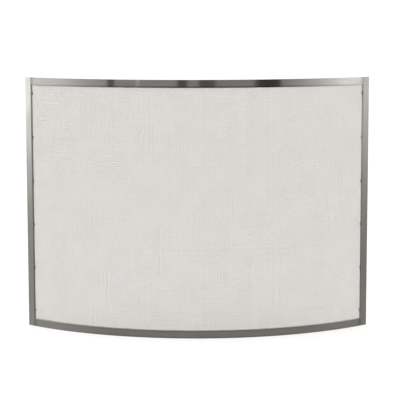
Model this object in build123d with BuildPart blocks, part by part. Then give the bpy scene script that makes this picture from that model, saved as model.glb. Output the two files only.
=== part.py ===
from build123d import *
import os
from math import asin, atan2, cos, degrees, hypot, radians, sin, sqrt

# Bowed fireplace screen: a frame of flat steel bar, bowed in plan, with woven wire cloth
# held against its back by clamp strips and screwed clips.
# Millimetres. +Z is up and the front of the bow faces -Y. The origin is the middle of the
# screen's footprint, at floor level. "Left" and "right" are as seen from the front.

# Overall size
overall_width = 1118.0
overall_height = 820.0
bow_depth = 212.0  # the middle of the front stands this far ahead of its ends

# Frame bars
bar_width = 25.4
bar_thickness = 4.76
bar_edge_radius = 0.8

# Wire cloth, modelled as a closed sheet two wires thick
cloth_thickness = 1.4
cloth_overlap = 12.4  # reach of the cloth over the back of each bar

# Clamp strips behind the cloth's edges
strip_width = 11.0
strip_thickness = 1.5
strip_setback = 0.5  # from the inner edge of the bar

# Clips that hook over the strips
clip_width = 8.0
clip_thickness = 1.2
clip_bend_radius = 1.0
clip_corner_radius = 2.0
stile_clip_reach = 3.0  # past the inner edge of the bar
clip_foot_length = 4.5  # from the screw towards the outer edge of the bar
stile_clip_count = 6
stile_clip_pitch = 143.0
rail_clip_count = 8
rail_clip_pitch = 150.0  # along the bow

# Pan-head screws, one in each clip
screw_inset = 7.0  # from the outer edge of the bar
screw_radius = 1.97
screw_length = 4.8
screw_head_radius = 3.8
screw_head_height = 2.3
screw_head_round = 1.4
screw_slot_width = 1.0
screw_slot_length = 4.2
screw_slot_depth = 1.2
bar_hole_radius = 2.0
bar_hole_depth = 4.0
clip_hole_radius = 2.25

fit_gap = 0.1  # left where flat pieces lie over curved ones
rail_clip_reach = clip_thickness - strip_setback + 2 * fit_gap  # just hooks the strip

# The bow: an arc in plan, with a straight stile tangent to it at each end
half_width = overall_width / 2
half_bar = bar_width / 2
bow_radius = (half_width**2 + bow_depth**2) / (2 * bow_depth)
bar_back_radius = bow_radius - bar_thickness
cloth_back_radius = bar_back_radius - cloth_thickness
stile_angle = degrees(
    asin(half_width / hypot(bow_radius, half_bar)) - atan2(half_bar, bow_radius)
)

# The footprint runs from the front of the bow to the rear corners of the stiles
rear_corner = bar_back_radius * cos(radians(stile_angle)) - half_bar * sin(
    radians(stile_angle)
)
bow_centre = (bow_radius + rear_corner) / 2

strip_inner_edge = bar_width - strip_setback
strip_outer_edge = strip_inner_edge - strip_width
cloth_edge = bar_width - cloth_overlap


def bow_point(angle, radius, height=0.0):
    """Point at an angle round the bow, in degrees from its middle towards +X."""
    turn = radians(angle)
    return (radius * sin(turn), bow_centre - radius * cos(turn), height)


def outward(angle):
    """Horizontal direction out of the front of the bow at an angle."""
    return Vector(sin(radians(angle)), -cos(radians(angle)), 0)


def along(angle):
    """Horizontal direction along the bow, towards +X, at an angle."""
    return Vector(cos(radians(angle)), sin(radians(angle)), 0)


def angle_beside_stile(radius, distance):
    """Angle of the point at a radius whose distance from the stile's centre line is given."""
    return stile_angle - degrees(asin(distance / radius))


def curved_band(outer_radius, thickness, stile_distance, bottom, height):
    """Upright band rolled to the bow, cut off square to each stile at a distance from it."""
    inner_radius = outer_radius - thickness
    outer_end = angle_beside_stile(outer_radius, stile_distance)
    inner_end = angle_beside_stile(inner_radius, stile_distance)
    with BuildPart() as band:
        with BuildSketch(Plane.XY.offset(bottom)):
            with BuildLine():
                front = ThreePointArc(
                    bow_point(-outer_end, outer_radius),
                    bow_point(0, outer_radius),
                    bow_point(outer_end, outer_radius),
                )
                back = ThreePointArc(
                    bow_point(-inner_end, inner_radius),
                    bow_point(0, inner_radius),
                    bow_point(inner_end, inner_radius),
                )
                Line(front @ 0, back @ 0)
                Line(front @ 1, back @ 1)
            make_face()
        extrude(amount=height)
    return band.part


def clip_seat(angle, height, toward_cloth, standoff=0.0):
    """Plane on the back of a bar at a clip's screw: X runs to the cloth, Z out of the back."""
    return Plane(
        origin=bow_point(angle, bar_back_radius - standoff, height),
        x_dir=toward_cloth,
        z_dir=-outward(angle),
    )


def stile_seats(side):
    """Clip seats up a stile; side is -1 for the left stile and 1 for the right."""
    angle = side * stile_angle
    outward_shift = along(angle) * side * (half_bar - screw_inset)
    seats = []
    for index in range(stile_clip_count):
        step = index - (stile_clip_count - 1) / 2
        seat = clip_seat(angle, overall_height / 2 + step * stile_clip_pitch, along(angle) * -side)
        seats.append(Plane(seat.origin + outward_shift, seat.x_dir, seat.z_dir))
    return seats


def rail_seats(height, upward):
    """Clip seats along a rail; upward is 1 where the cloth lies above the rail, else -1."""
    step_angle = degrees(rail_clip_pitch / bow_radius)
    standoff = bar_back_radius - sqrt(bar_back_radius**2 - (clip_width / 2) ** 2)
    return [
        clip_seat(
            (index - (rail_clip_count - 1) / 2) * step_angle,
            height,
            Vector(0, 0, upward),
            standoff,
        )
        for index in range(rail_clip_count)
    ]


bottom_seats = rail_seats(screw_inset, 1)
top_seats = rail_seats(overall_height - screw_inset, -1)
left_seats = stile_seats(-1)
right_seats = stile_seats(1)


def save(part, name):
    """Label a finished piece and write its STEP file."""
    part.label = name
    export_step(part, f"parts/{name}.step")


os.makedirs("parts", exist_ok=True)


# Rails: flat bar rolled to the bow, butted between the stiles
def make_rail(name, bottom, seats):
    with BuildPart() as rail:
        add(curved_band(bow_radius, bar_thickness, half_bar, bottom, bar_width))
        fillet(rail.edges().filter_by(GeomType.CIRCLE), bar_edge_radius)
        with Locations(*[seat.location for seat in seats]):
            Hole(bar_hole_radius, bar_hole_depth)
    save(rail.part, name)


make_rail("bottom_rail", 0.0, bottom_seats)
make_rail("top_rail", overall_height - bar_width, top_seats)


# Stiles: straight flat bar, full height, facing out along the bow's radius
def make_stile(name, side, seats):
    angle = side * stile_angle
    middle = bow_point(angle, bow_radius - bar_thickness / 2)
    with BuildPart() as stile:
        with BuildSketch(Plane(origin=middle, x_dir=along(angle), z_dir=(0, 0, 1))):
            Rectangle(bar_width, bar_thickness)
        extrude(amount=overall_height)
        fillet(stile.edges(), bar_edge_radius)
        with Locations(*[seat.location for seat in seats]):
            Hole(bar_hole_radius, bar_hole_depth)
    save(stile.part, name)


make_stile("left_stile", -1, left_seats)
make_stile("right_stile", 1, right_seats)

# Wire cloth: one sheet against the backs of all four bars
save(
    curved_band(
        bar_back_radius,
        cloth_thickness,
        cloth_edge - half_bar,
        cloth_edge,
        overall_height - 2 * cloth_edge,
    ),
    "mesh_panel",
)

# Clamp strips along the rails, rolled to the back of the cloth
for name, bottom in (
    ("bottom_clamp_strip", strip_outer_edge),
    ("top_clamp_strip", overall_height - strip_inner_edge),
):
    save(
        curved_band(
            cloth_back_radius,
            strip_thickness,
            strip_outer_edge - half_bar,
            bottom,
            strip_width,
        ),
        name,
    )


# Clamp strips up the stiles, straight, fitted between the rails' strips
def make_stile_strip(name, side):
    angle = side * stile_angle
    widest = strip_inner_edge - half_bar
    front_radius = sqrt(cloth_back_radius**2 - widest**2)
    middle_offset = (strip_inner_edge + strip_outer_edge) / 2 - half_bar
    centre = Vector(*bow_point(angle, front_radius - strip_thickness / 2, strip_inner_edge))
    centre -= along(angle) * side * middle_offset
    with BuildPart() as strip:
        with BuildSketch(Plane(origin=centre, x_dir=along(angle), z_dir=(0, 0, 1))):
            Rectangle(strip_width, strip_thickness)
        extrude(amount=overall_height - 2 * strip_inner_edge)
    save(strip.part, name)


make_stile_strip("left_clamp_strip", -1)
make_stile_strip("right_clamp_strip", 1)


# One clip, at its seat: a foot on the bar, a step over the strip, and a lip at the cloth
def make_clip(reach):
    """Clip whose lip ends at a reach past the inner edge of the bar."""
    half_clip = clip_thickness / 2
    clip_step = cloth_edge - screw_inset - half_clip - 2 * fit_gap
    bridge_height = cloth_thickness + strip_thickness + fit_gap + half_clip
    tip = bar_width - screw_inset + reach - half_clip
    lip_height = cloth_thickness + 2 * fit_gap
    with BuildPart() as clip:
        with BuildLine() as path:
            FilletPolyline(
                (-clip_foot_length, 0, half_clip),
                (clip_step, 0, half_clip),
                (clip_step, 0, bridge_height),
                (tip, 0, bridge_height),
                (tip, 0, lip_height),
                radius=clip_bend_radius,
            )
        with BuildSketch(Plane(path.line @ 0, x_dir=(0, 1, 0), z_dir=path.line % 0)):
            Rectangle(clip_width, clip_thickness)
        sweep()
        foot_end = clip.faces().sort_by(Axis.X)[0]
        fillet(foot_end.edges().filter_by(Axis.Z), clip_corner_radius)
        with Locations((0, 0, clip_thickness)):
            Hole(clip_hole_radius, clip_thickness)
    return clip.part


stile_clip = make_clip(stile_clip_reach)
rail_clip = make_clip(rail_clip_reach)


# One screw, at its seat: a slotted pan head on the clip's foot and a shank in the bar
with BuildPart() as screw:
    with BuildSketch(Plane.XY.offset(clip_thickness)):
        Circle(screw_head_radius)
    extrude(amount=screw_head_height)
    fillet(screw.edges().sort_by(Axis.Z)[-1], screw_head_round)
    with BuildSketch(Plane.XY.offset(clip_thickness)):
        Circle(screw_radius)
    extrude(amount=-screw_length)
    with BuildSketch(Plane.XY.offset(clip_thickness + screw_head_height)):
        Rectangle(screw_slot_length, screw_slot_width)
        Rectangle(screw_slot_width, screw_slot_length)
    extrude(amount=-screw_slot_depth, mode=Mode.SUBTRACT)

# Every bar carries one row of clips and one row of screws
for side_name, seats, clip in (
    ("top", top_seats, rail_clip),
    ("bottom", bottom_seats, rail_clip),
    ("left", left_seats, stile_clip),
    ("right", right_seats, stile_clip),
):
    for group_name, pattern in (("clips", clip), ("screws", screw.part)):
        with BuildPart() as group:
            with Locations(*[seat.location for seat in seats]):
                add(pattern)
        save(group.part, f"{side_name}_{group_name}")
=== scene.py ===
from math import asin, pi, radians

import bpy
import numpy as np
from mathutils import Matrix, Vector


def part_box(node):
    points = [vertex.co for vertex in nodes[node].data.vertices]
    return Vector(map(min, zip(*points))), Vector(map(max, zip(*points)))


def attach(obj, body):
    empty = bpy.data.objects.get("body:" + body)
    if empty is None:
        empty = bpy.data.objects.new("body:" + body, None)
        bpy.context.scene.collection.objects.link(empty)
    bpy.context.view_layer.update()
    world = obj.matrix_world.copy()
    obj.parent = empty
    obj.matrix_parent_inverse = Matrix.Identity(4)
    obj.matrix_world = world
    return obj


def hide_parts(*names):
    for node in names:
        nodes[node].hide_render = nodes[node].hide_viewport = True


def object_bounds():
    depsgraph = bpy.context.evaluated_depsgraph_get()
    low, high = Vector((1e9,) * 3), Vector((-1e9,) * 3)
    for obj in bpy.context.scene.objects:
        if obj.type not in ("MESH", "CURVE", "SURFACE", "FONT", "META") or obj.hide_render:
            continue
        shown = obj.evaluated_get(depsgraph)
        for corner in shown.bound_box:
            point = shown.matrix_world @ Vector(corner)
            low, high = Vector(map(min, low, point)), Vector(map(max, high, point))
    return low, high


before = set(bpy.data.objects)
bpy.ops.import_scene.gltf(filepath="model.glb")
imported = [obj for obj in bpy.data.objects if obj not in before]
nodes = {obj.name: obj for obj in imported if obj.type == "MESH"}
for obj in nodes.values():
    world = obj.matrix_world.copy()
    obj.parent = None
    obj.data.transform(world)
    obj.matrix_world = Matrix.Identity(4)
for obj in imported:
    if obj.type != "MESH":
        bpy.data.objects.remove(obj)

# Bowed fireplace screen in a plain studio. Metres, in the frame's own axes: the front of the
# bow faces -Y. The bars, strips, clips and screws are the frame's own pieces with procedural
# finishes; the wire cloth is woven here, wire by wire, where the frame holds a plain sheet.

bounds_at_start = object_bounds()


# ---------------------------------------------------------------- the bow, read from the frame
def bow_of(node):
    """Centre (its Y) and radius of the arc that a curved node's front face follows."""
    points = np.array([v.co for v in nodes[node].data.vertices])
    front = points[:, 1].min()
    end = points[points[:, 0].argmax()]
    depth = end[1] - front
    radius = (end[0] ** 2 + depth**2) / (2 * depth)
    return front + radius, radius


cloth_low, cloth_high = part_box("mesh_panel")
bow_centre, cloth_front_radius = bow_of("mesh_panel")
half_turn = asin(cloth_high.x / cloth_front_radius)
stile_low, stile_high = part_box("right_stile")
stile_middle = (stile_low + stile_high) / 2
stile_angle = asin(stile_middle.x / np.hypot(stile_middle.x, stile_middle.y - bow_centre))
rail_low, rail_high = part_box("top_rail")
bar_width = rail_high.z - rail_low.z


# ---------------------------------------------------------------- node helpers
class Nodes:
    """A few words for building a node tree."""

    def __init__(self, tree):
        tree.nodes.clear()
        self.tree = tree

    def add(self, kind, values=None, **settings):
        node = self.tree.nodes.new(kind)
        for key, value in settings.items():
            setattr(node, key, value)
        for key, value in (values or {}).items():
            if isinstance(value, bpy.types.NodeSocket):
                self.tree.links.new(value, node.inputs[key])
            else:
                node.inputs[key].default_value = value
        return node

    def math(self, operation, a, b=0.0, c=0.0):
        node = self.add("ShaderNodeMath", {0: a, 1: b, 2: c}, operation=operation)
        return node.outputs[0]

    def remap(self, value, low, high, to_low=0.0, to_high=1.0, smooth=True):
        node = self.add(
            "ShaderNodeMapRange",
            {"Value": value, 1: low, 2: high, 3: to_low, 4: to_high},
            interpolation_type="SMOOTHSTEP" if smooth else "LINEAR",
        )
        return node.outputs[0]

    def blend(self, share, a, b):
        """Colour a where share is 0 and b where it is 1."""
        node = self.add(
            "ShaderNodeMix", {0: share, 6: a, 7: b}, data_type="RGBA", clamp_factor=True
        )
        return node.outputs[2]

    def noise(self, vector, scale, detail=3.0, roughness=0.5):
        values = {"Vector": vector, "Scale": scale, "Detail": detail, "Roughness": roughness}
        return self.add("ShaderNodeTexNoise", values).outputs[0]


def new_material(name):
    material = bpy.data.materials.new(name)
    material.use_nodes = True
    return material, Nodes(material.node_tree)


# ---------------------------------------------------------------- finishes
nickel_light = (0.478, 0.466, 0.448, 1)
nickel_dark = (0.446, 0.436, 0.42, 1)
brush_mark = (0.36, 0.35, 0.335, 1)
streak_mark = (0.30, 0.29, 0.275, 1)
# Lighter edge tone: rubbed wear, and a painted highlight along each bar's rounded edge
wear_and_highlight_edge = (0.56, 0.55, 0.53, 1)
# Black for the painted shade along the rails' edges, and for the dark joint seams at their ends
shade_and_seam_black = (0.10, 0.095, 0.09, 1)
painted_shade_ends = 0.005  # in from the edge of a rail
painted_shade_full = 0.0038
painted_shade_fades_from = 0.12  # out from the middle of the bow
painted_shade_fades_to = 0.48
seam_starts = 0.014  # in from the end of a rail
seam_full = 0.002


def bar_metal(node, turn=None, painted_shade_level=0.0):
    """Polished nickel on a bar, brushed along its length.

    The bar's width runs along Z on a rail, and at a heading of turn about Z on a stile.
    """
    low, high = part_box(node)
    middle = (low + high) / 2
    material, n = new_material(node + "_nickel")
    place = n.add("ShaderNodeTexCoord").outputs["Object"]
    if turn is None:
        frame_of_bar = {"Vector": place, "Location": middle, "Rotation": (0, pi / 2, 0)}
    else:
        frame_of_bar = {"Vector": place, "Location": middle, "Rotation": (0, 0, turn)}
    local = n.add("ShaderNodeMapping", frame_of_bar, vector_type="TEXTURE").outputs[0]
    across = n.add("ShaderNodeSeparateXYZ", {0: local}).outputs[0]
    edge_gap = n.math("SUBTRACT", bar_width / 2, n.math("ABSOLUTE", across))
    lower_gap = n.math("SUBTRACT", bar_width / 2, across)
    # The painted shade follows the top rail's lower edge, and both edges of the bottom rail
    painted_shade_gap = lower_gap if node == "top_rail" else edge_gap

    def lengthwise(across_scale, along_scale):
        scales = (across_scale, along_scale, along_scale)
        return n.add("ShaderNodeMapping", {"Vector": local, "Scale": scales}).outputs[0]

    brushing = n.noise(lengthwise(1400, 5), 1.0, detail=4.0, roughness=0.65)
    streaks = n.noise(lengthwise(170, 9), 1.0, detail=2.0)
    smudges = n.noise(place, 9.0, detail=4.0, roughness=0.55)

    colour = n.blend(n.remap(smudges, 0.35, 0.7), nickel_light, nickel_dark)
    colour = n.blend(n.remap(brushing, 0.35, 0.75, 0.0, 0.3), colour, brush_mark)
    colour = n.blend(n.remap(streaks, 0.3, 0.7, 0.0, 0.25), colour, streak_mark)
    # Every bar edge is lightened: partly rubbed wear, partly a painted highlight
    wear_and_highlight_wander = n.remap(smudges, 0.3, 0.7, -0.0006, 0.0006, smooth=False)
    wear_and_highlight_gap = n.math("ADD", edge_gap, wear_and_highlight_wander)
    colour = n.blend(n.remap(wear_and_highlight_gap, 0.0014, 0.0004, 0.0, 0.5), colour, wear_and_highlight_edge)
    if turn is None:
        # Painted shade: a dark line along the top rail's lower edge and along both edges of the
        # bottom rail, fading towards the ends; the joints at the rail ends are darkened as seams
        out_from_middle = n.math("ABSOLUTE", n.add("ShaderNodeSeparateXYZ", {0: place}).outputs[0])
        shade_and_seam = n.math(
            "MULTIPLY",
            n.remap(painted_shade_gap, painted_shade_ends, painted_shade_full),
            n.remap(
                out_from_middle, painted_shade_fades_from, painted_shade_fades_to,
                painted_shade_level, painted_shade_level * 0.25, smooth=False,
            ),
        )
        seam = n.remap(out_from_middle, high.x - seam_starts, high.x - seam_full, 0.0, 0.4)
        shade_and_seam = n.math("MAXIMUM", shade_and_seam, seam)
        colour = n.blend(shade_and_seam, colour, shade_and_seam_black)
    rough = n.math(
        "ADD", n.remap(brushing, 0.3, 0.75, 0.05, 0.09), n.remap(smudges, 0.3, 0.7, 0.0, 0.03)
    )
    rough = n.math("ADD", rough, n.remap(streaks, 0.3, 0.7, 0.0, 0.02))
    bump = n.add(
        "ShaderNodeBump", {"Strength": 0.05, "Distance": 0.0001, "Height": brushing}
    ).outputs[0]
    shader = n.add(
        "ShaderNodeBsdfPrincipled",
        {"Base Color": colour, "Metallic": 1.0, "Roughness": rough, "Normal": bump},
    )
    n.add("ShaderNodeOutputMaterial", {"Surface": shader.outputs[0]})
    return material


def plain_steel(name, light, dark, rough_low, rough_high, scale):
    """Satin steel whose tone and gloss drift a little over the surface."""
    material, n = new_material(name)
    place = n.add("ShaderNodeTexCoord").outputs["Object"]
    drift = n.noise(place, scale, detail=4.0, roughness=0.6)
    grain = n.noise(place, scale * 14, detail=2.0)
    colour = n.blend(n.remap(drift, 0.3, 0.7), light, dark)
    rough = n.remap(grain, 0.3, 0.7, rough_low, rough_high)
    bump = n.add(
        "ShaderNodeBump", {"Strength": 0.1, "Distance": 0.0001, "Height": grain}
    ).outputs[0]
    shader = n.add(
        "ShaderNodeBsdfPrincipled",
        {"Base Color": colour, "Metallic": 1.0, "Roughness": rough, "Normal": bump},
    )
    n.add("ShaderNodeOutputMaterial", {"Surface": shader.outputs[0]})
    return material


bar_metals = {
    # The level sets how dark each rail's painted shade line is
    "top_rail": bar_metal("top_rail", painted_shade_level=0.75),
    "bottom_rail": bar_metal("bottom_rail", painted_shade_level=0.3),
    "left_stile": bar_metal("left_stile", turn=-stile_angle),
    "right_stile": bar_metal("right_stile", turn=stile_angle),
}
strip_metal = plain_steel(
    "clamp_strip_steel_finish", (0.40, 0.39, 0.38, 1), (0.33, 0.32, 0.31, 1), 0.32, 0.45, 25.0
)
clip_metal = plain_steel(
    "clip_steel_finish", (0.36, 0.35, 0.33, 1), (0.28, 0.27, 0.26, 1), 0.30, 0.42, 60.0
)
screw_metal = plain_steel(
    "screw_steel_finish", (0.52, 0.51, 0.49, 1), (0.42, 0.41, 0.39, 1), 0.22, 0.34, 90.0
)
wire_metal = plain_steel(
    "wire_cloth_finish", (0.65, 0.575, 0.51, 1), (0.59, 0.525, 0.46, 1), 0.32, 0.45, 12.0
)

for node_name, node in nodes.items():
    if node_name in bar_metals:
        finish = bar_metals[node_name]
    elif node_name.endswith("_clamp_strip"):
        finish = strip_metal
    elif node_name.endswith("_clips"):
        finish = clip_metal
    elif node_name.endswith("_screws"):
        finish = screw_metal
    else:
        finish = wire_metal
    node.material_slots[0].material = finish


# ---------------------------------------------------------------- woven wire cloth
wire_pitch = 0.0022
wire_radius = 0.00035
wire_sides = 4
wire_wander = 0.00016  # how far the loom leaves a wire from its even place
chance = np.random.default_rng(44)
pieces_each_way = 8  # keeps every piece under 200,000 triangles

cloth_radius = cloth_front_radius - 2 * wire_radius  # of the cloth's middle surface
cloth_height = cloth_high.z - cloth_low.z
warp_count = int(2 * half_turn * cloth_radius / wire_pitch)
weft_count = int(cloth_height / wire_pitch)


def spaced(count):
    """Distances of wires from the middle one, each a little off its even place."""
    even = (np.arange(count) - (count - 1) / 2) * wire_pitch
    return even + np.clip(chance.normal(0, wire_wander, count), -2 * wire_wander, 2 * wire_wander)


warp_turns = spaced(warp_count) / cloth_radius
weft_heights = (cloth_low.z + cloth_high.z) / 2 + spaced(weft_count)
overhang = wire_pitch / 2  # a wire runs on this far past its last crossing


def bow_points(turns, radii, heights):
    """Points round the bow, from arrays of angles, radii and heights."""
    return np.stack(
        [radii * np.sin(turns), bow_centre - radii * np.cos(turns), heights + 0 * turns],
        axis=-1,
    )


def tubes(name, rings):
    """One mesh of many wires; rings has the axes wire, ring along it, side, coordinate."""
    wires, count, sides, _ = rings.shape
    index = np.arange(wires * count * sides).reshape(wires, count, sides)
    following = np.roll(index, -1, axis=2)
    walls = np.stack(
        [index[:, :-1], following[:, :-1], following[:, 1:], index[:, 1:]], axis=-1
    ).reshape(-1, 4)
    starts = index[:, 0, ::-1]
    ends = index[:, -1]
    faces = np.concatenate([walls, starts, ends])
    mesh = bpy.data.meshes.new(name)
    mesh.vertices.add(rings.size // 3)
    mesh.vertices.foreach_set("co", rings.ravel())
    mesh.loops.add(faces.size)
    mesh.loops.foreach_set("vertex_index", faces.ravel())
    mesh.polygons.add(len(faces))
    mesh.polygons.foreach_set("loop_start", np.arange(len(faces)) * 4)
    mesh.update(calc_edges=True)
    mesh.shade_smooth()
    piece = bpy.data.objects.new(name, mesh)
    bpy.context.scene.collection.objects.link(piece)
    piece.data.materials.append(wire_metal)
    return piece


around = np.arange(wire_sides) * 2 * pi / wire_sides
across_wire = wire_radius * np.cos(around)
through_cloth = wire_radius * np.sin(around)


def warp_rings(first, last):
    """Upright wires: each passes in front of one weft wire and behind the next."""
    turns = warp_turns[first:last]
    heights = np.concatenate(
        [[weft_heights[0] - overhang], weft_heights, [weft_heights[-1] + overhang]]
    )
    wire = np.arange(first, last)[:, None]
    crossing = np.arange(-1, weft_count + 1)[None, :]
    sway = wire_radius * np.where((wire + crossing) % 2 == 0, 1.0, -1.0)
    sway[:, 0] = 0
    sway[:, -1] = 0
    turn = turns[:, None, None] + across_wire[None, None, :] / cloth_radius
    radius = cloth_radius + sway[:, :, None] + through_cloth[None, None, :]
    turn, radius = np.broadcast_arrays(turn, radius)
    return bow_points(turn, radius, heights[None, :, None])


def weft_rings(first, last):
    """Level wires, swaying the other way at every crossing."""
    heights = weft_heights[first:last]
    reach = overhang / cloth_radius
    turns = np.concatenate([[warp_turns[0] - reach], warp_turns, [warp_turns[-1] + reach]])
    wire = np.arange(first, last)[:, None]
    crossing = np.arange(-1, warp_count + 1)[None, :]
    sway = wire_radius * np.where((wire + crossing) % 2 == 0, -1.0, 1.0)
    sway[:, 0] = 0
    sway[:, -1] = 0
    radius = cloth_radius + sway[:, :, None] + through_cloth[None, None, :]
    turn = np.broadcast_to(turns[None, :, None], radius.shape)
    height = heights[:, None, None] - across_wire[None, None, :]
    return bow_points(turn, radius, height)


def weave(name, rings_of, count):
    """The wires of one direction, in several pieces."""
    edges = np.linspace(0, count, pieces_each_way + 1).astype(int)
    for number, (first, last) in enumerate(zip(edges[:-1], edges[1:]), start=1):
        piece = tubes(f"{name}_{number}", rings_of(first, last))
        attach(piece, "root")
        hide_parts("mesh_panel")


weave("cloth_warp", warp_rings, warp_count)
weave("cloth_weft", weft_rings, weft_count)


# ---------------------------------------------------------------- studio
def make_floor():
    """A matt floor that glows a little, so that it stays white under a soft light."""
    reach = 30.0
    glow_strength = 0.62
    material, n = new_material("floor_paint")
    place = n.add("ShaderNodeTexCoord").outputs["Object"]
    cloud = n.noise(place, 1.5)
    colour = n.blend(cloud, (0.36, 0.36, 0.36, 1), (0.37, 0.37, 0.37, 1))
    paint = n.add("ShaderNodeBsdfDiffuse", {"Color": colour})
    glow = n.add("ShaderNodeEmission", {"Color": (1, 1, 1, 1), "Strength": glow_strength})
    shader = n.add("ShaderNodeAddShader", {0: paint.outputs[0], 1: glow.outputs[0]})
    n.add("ShaderNodeOutputMaterial", {"Surface": shader.outputs[0]})
    mesh = bpy.data.meshes.new("floor")
    corners = [(-reach, -reach, 0), (reach, -reach, 0), (reach, reach, 0), (-reach, reach, 0)]
    mesh.from_pydata(corners, [], [(0, 1, 2, 3)])
    mesh.materials.append(material)
    floor = bpy.data.objects.new("floor", mesh)
    bpy.context.scene.collection.objects.link(floor)
    floor.visible_glossy = False


def make_surroundings():
    """White to the eye. The metal sees a room: bright side walls, a dim front, a grey floor.

    Headings are in degrees: 0 is in front of the screen, and minus is its left. The cards stand
    round the camera at the height that the top rail mirrors, with two slits of light between
    them. A tall window is far off to the left, and a curtain far off to the right.
    """
    room_starts_aside = 34  # the walls and ground brighten between these headings
    room_ends_aside = 84
    wall_foot = -9.5  # the ground blends into the walls between these elevations
    wall_clear = -3
    sky_starts = 6
    sky_ends = 40
    seen_white = 1.09
    front_ground = (0.37, 0.355, 0.34, 1)
    cards = [  # heading of the middle, width, and level
        (-41, 3, 0.15),
        (-7, 4, 0.12),
        (4, 8, 0.13),
        (28, 2, 0.15),
        (34, 10, 0.06),
        (-28, 0.5, 0.8),
        (0, 0.5, 0.4),
    ]
    card_edge = 0.7
    card_elevation = -2.6
    card_reach = 4.0  # above and below that elevation
    window_heading = -98
    window_width = 20
    window_light = (2.2, 2.2, 2.25, 1)
    curtain_heading = 95
    curtain_width = 20
    curtain_grey = (1.15, 1.14, 1.12, 1)

    world = bpy.data.worlds.new("studio")
    world.use_nodes = True
    bpy.context.scene.world = world
    n = Nodes(world.node_tree)
    direction = n.add("ShaderNodeTexCoord").outputs["Generated"]
    parts = n.add("ShaderNodeSeparateXYZ", {0: direction})
    azimuth = n.math("ARCTAN2", parts.outputs[0], n.math("MULTIPLY", parts.outputs[1], -1.0))
    elevation = n.math("ARCSINE", parts.outputs[2])
    aside = n.remap(
        n.math("ABSOLUTE", azimuth), radians(room_starts_aside), radians(room_ends_aside)
    )
    rightward = n.remap(parts.outputs[0], -0.8, 0.8)

    def left_to_right(left, right):
        return n.blend(rightward, left, right)

    def gap_from(angle, middle):
        return n.math("ABSOLUTE", n.math("SUBTRACT", angle, radians(middle)))

    def panel(middle, width):
        """1 across a panel's width, fading to 0 just past its sides."""
        half = width / 2
        return n.remap(gap_from(azimuth, middle), radians(half + card_edge), radians(half))

    front_wall = left_to_right((0.44, 0.44, 0.44, 1), (0.36, 0.36, 0.36, 1))
    side_wall = left_to_right((1.3, 1.3, 1.3, 1), (1.6, 1.6, 1.6, 1))
    room = n.blend(aside, front_wall, side_wall)
    room = n.blend(panel(window_heading, window_width), room, window_light)
    room = n.blend(panel(curtain_heading, curtain_width), room, curtain_grey)
    height = gap_from(elevation, card_elevation)
    at_card_height = n.remap(height, radians(card_reach + card_edge), radians(card_reach))
    for heading, width, level in cards:
        share = n.math("MULTIPLY", panel(heading, width), at_card_height)
        room = n.blend(share, room, (level, level, level, 1))

    side_ground = left_to_right((0.53, 0.52, 0.50, 1), (0.40, 0.39, 0.38, 1))
    ground = n.blend(aside, front_ground, side_ground)
    above = n.remap(elevation, radians(wall_foot), radians(wall_clear), smooth=False)
    room = n.blend(n.math("POWER", above, 2.0), ground, room)
    sky = left_to_right((1.5, 1.5, 1.52, 1), (1.2, 1.17, 1.13, 1))
    room = n.blend(n.remap(elevation, radians(sky_starts), radians(sky_ends)), room, sky)
    lit = n.add("ShaderNodeBackground", {"Color": room, "Strength": 1.0})
    seen = n.add("ShaderNodeBackground", {"Color": (1, 1, 1, 1), "Strength": seen_white})
    eye = n.add("ShaderNodeLightPath").outputs["Is Camera Ray"]
    both = n.add("ShaderNodeMixShader", {0: eye, 1: lit.outputs[0], 2: seen.outputs[0]})
    n.add("ShaderNodeOutputWorld", {"Surface": both.outputs[0]})


def make_lights():
    """A weak softbox above and a little to the left."""
    light = bpy.data.lights.new("overhead_softbox", "AREA")
    light.shape = "RECTANGLE"
    light.size = 5.0
    light.size_y = 4.0
    light.energy = 20.0
    softbox = bpy.data.objects.new("overhead_softbox", light)
    softbox.location = (-0.6, -0.4, 4.2)
    softbox.visible_camera = False
    bpy.context.scene.collection.objects.link(softbox)


def make_camera():
    """A long lens in front of the screen, a little above its top rail."""
    front = bounds_at_start[0].y
    data = bpy.data.cameras.new("camera")
    data.sensor_width = 36.0
    data.lens = 132.4
    data.clip_end = 200.0
    camera = bpy.data.objects.new("camera", data)
    camera.location = (0.023, front - 4.578, 1.026)
    pitch, heading, roll = radians(7.25), radians(0.17), radians(-0.09)
    turn = (
        Matrix.Rotation(heading, 4, "Z")
        @ Matrix.Rotation(pi / 2 - pitch, 4, "X")
        @ Matrix.Rotation(roll, 4, "Z")
    )
    camera.rotation_euler = turn.to_euler()
    bpy.context.scene.collection.objects.link(camera)
    bpy.context.scene.camera = camera


make_floor()
make_surroundings()
make_lights()
make_camera()
bpy.context.scene.view_settings.view_transform = "Standard"
